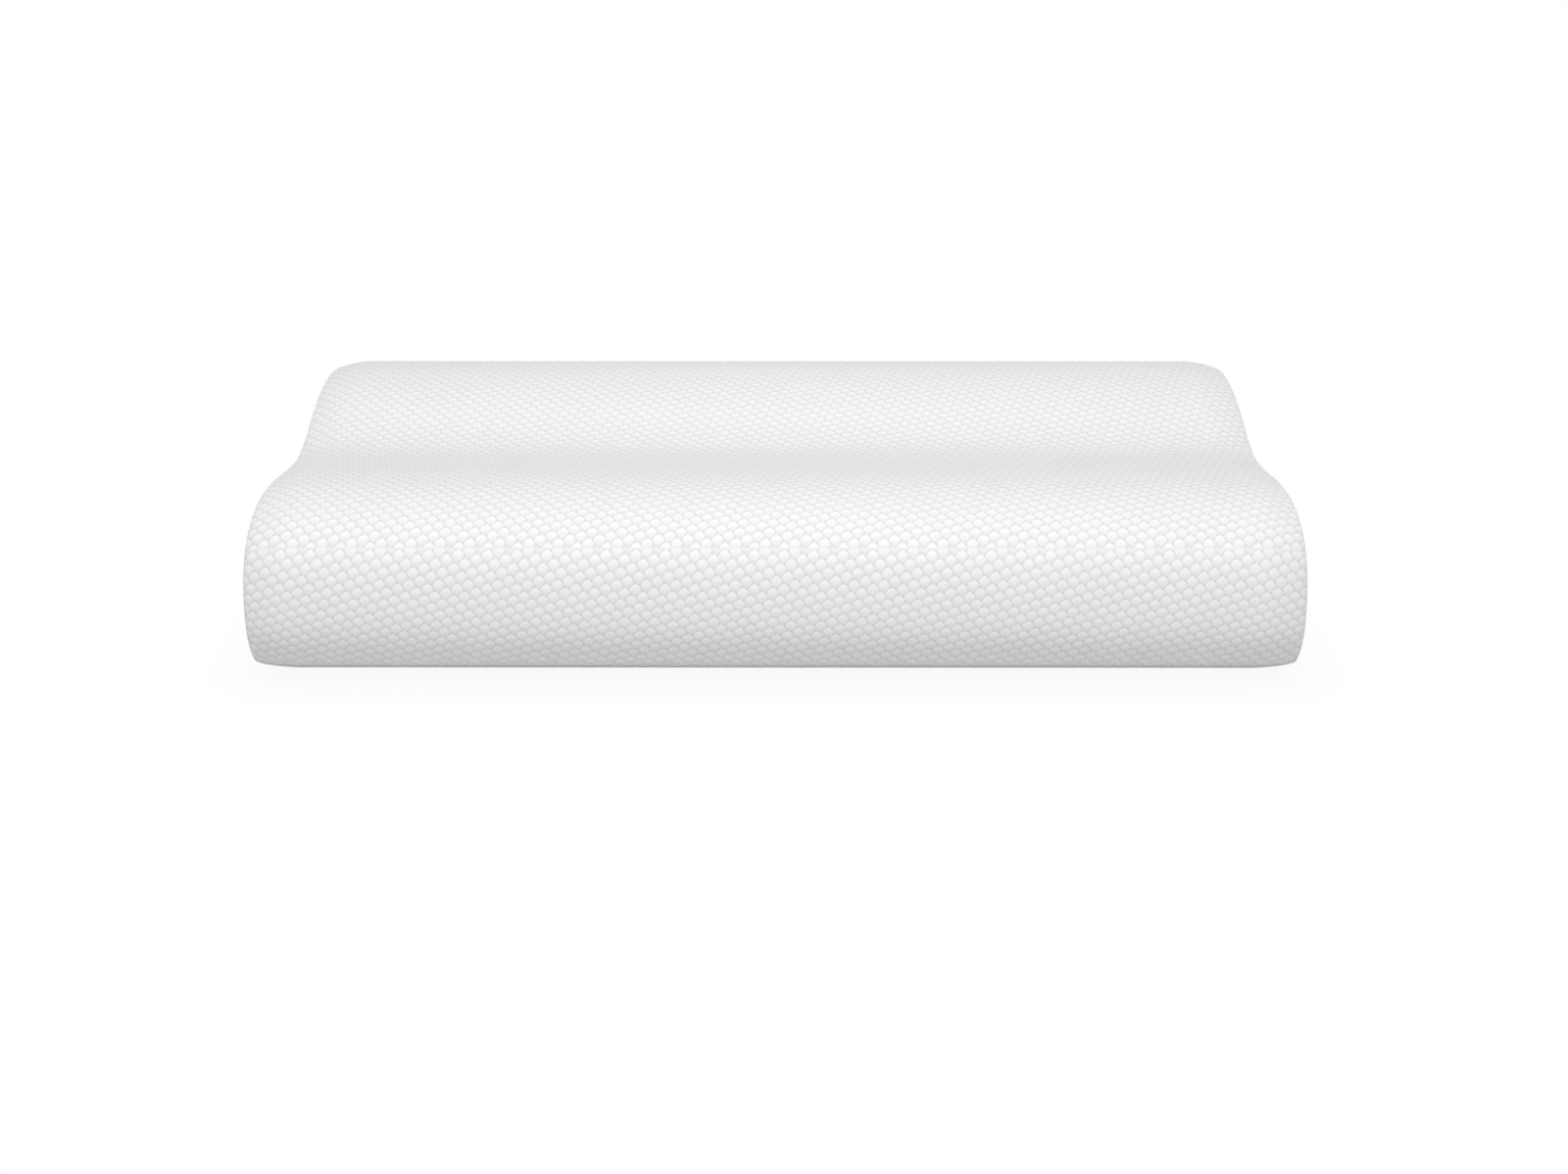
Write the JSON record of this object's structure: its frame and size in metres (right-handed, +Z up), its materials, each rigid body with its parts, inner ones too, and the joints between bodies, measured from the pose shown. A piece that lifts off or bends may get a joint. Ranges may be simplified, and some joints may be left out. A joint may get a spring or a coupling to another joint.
{
  "type": "contour pillow",
  "caption": "Contour pillow in a taut white scalloped knit cover: a high back lobe, a low front lobe and a shallow valley for the head between them, on a flat base.",
  "frame": {"origin": "middle of the flat base, on the surface that the pillow rests on", "axes": "+X along the width, from one end panel to the other; +Y from the low front lobe to the high back lobe; +Z up"},
  "size_m": [0.6, 0.35, 0.112],
  "materials": {
    "knit_cover": "white double knit with small raised scallops in offset rows, matt with a soft sheen"
  },
  "bodies": {
    "root": {"pillow": "knit_cover"}
  },
  "joints": []
}
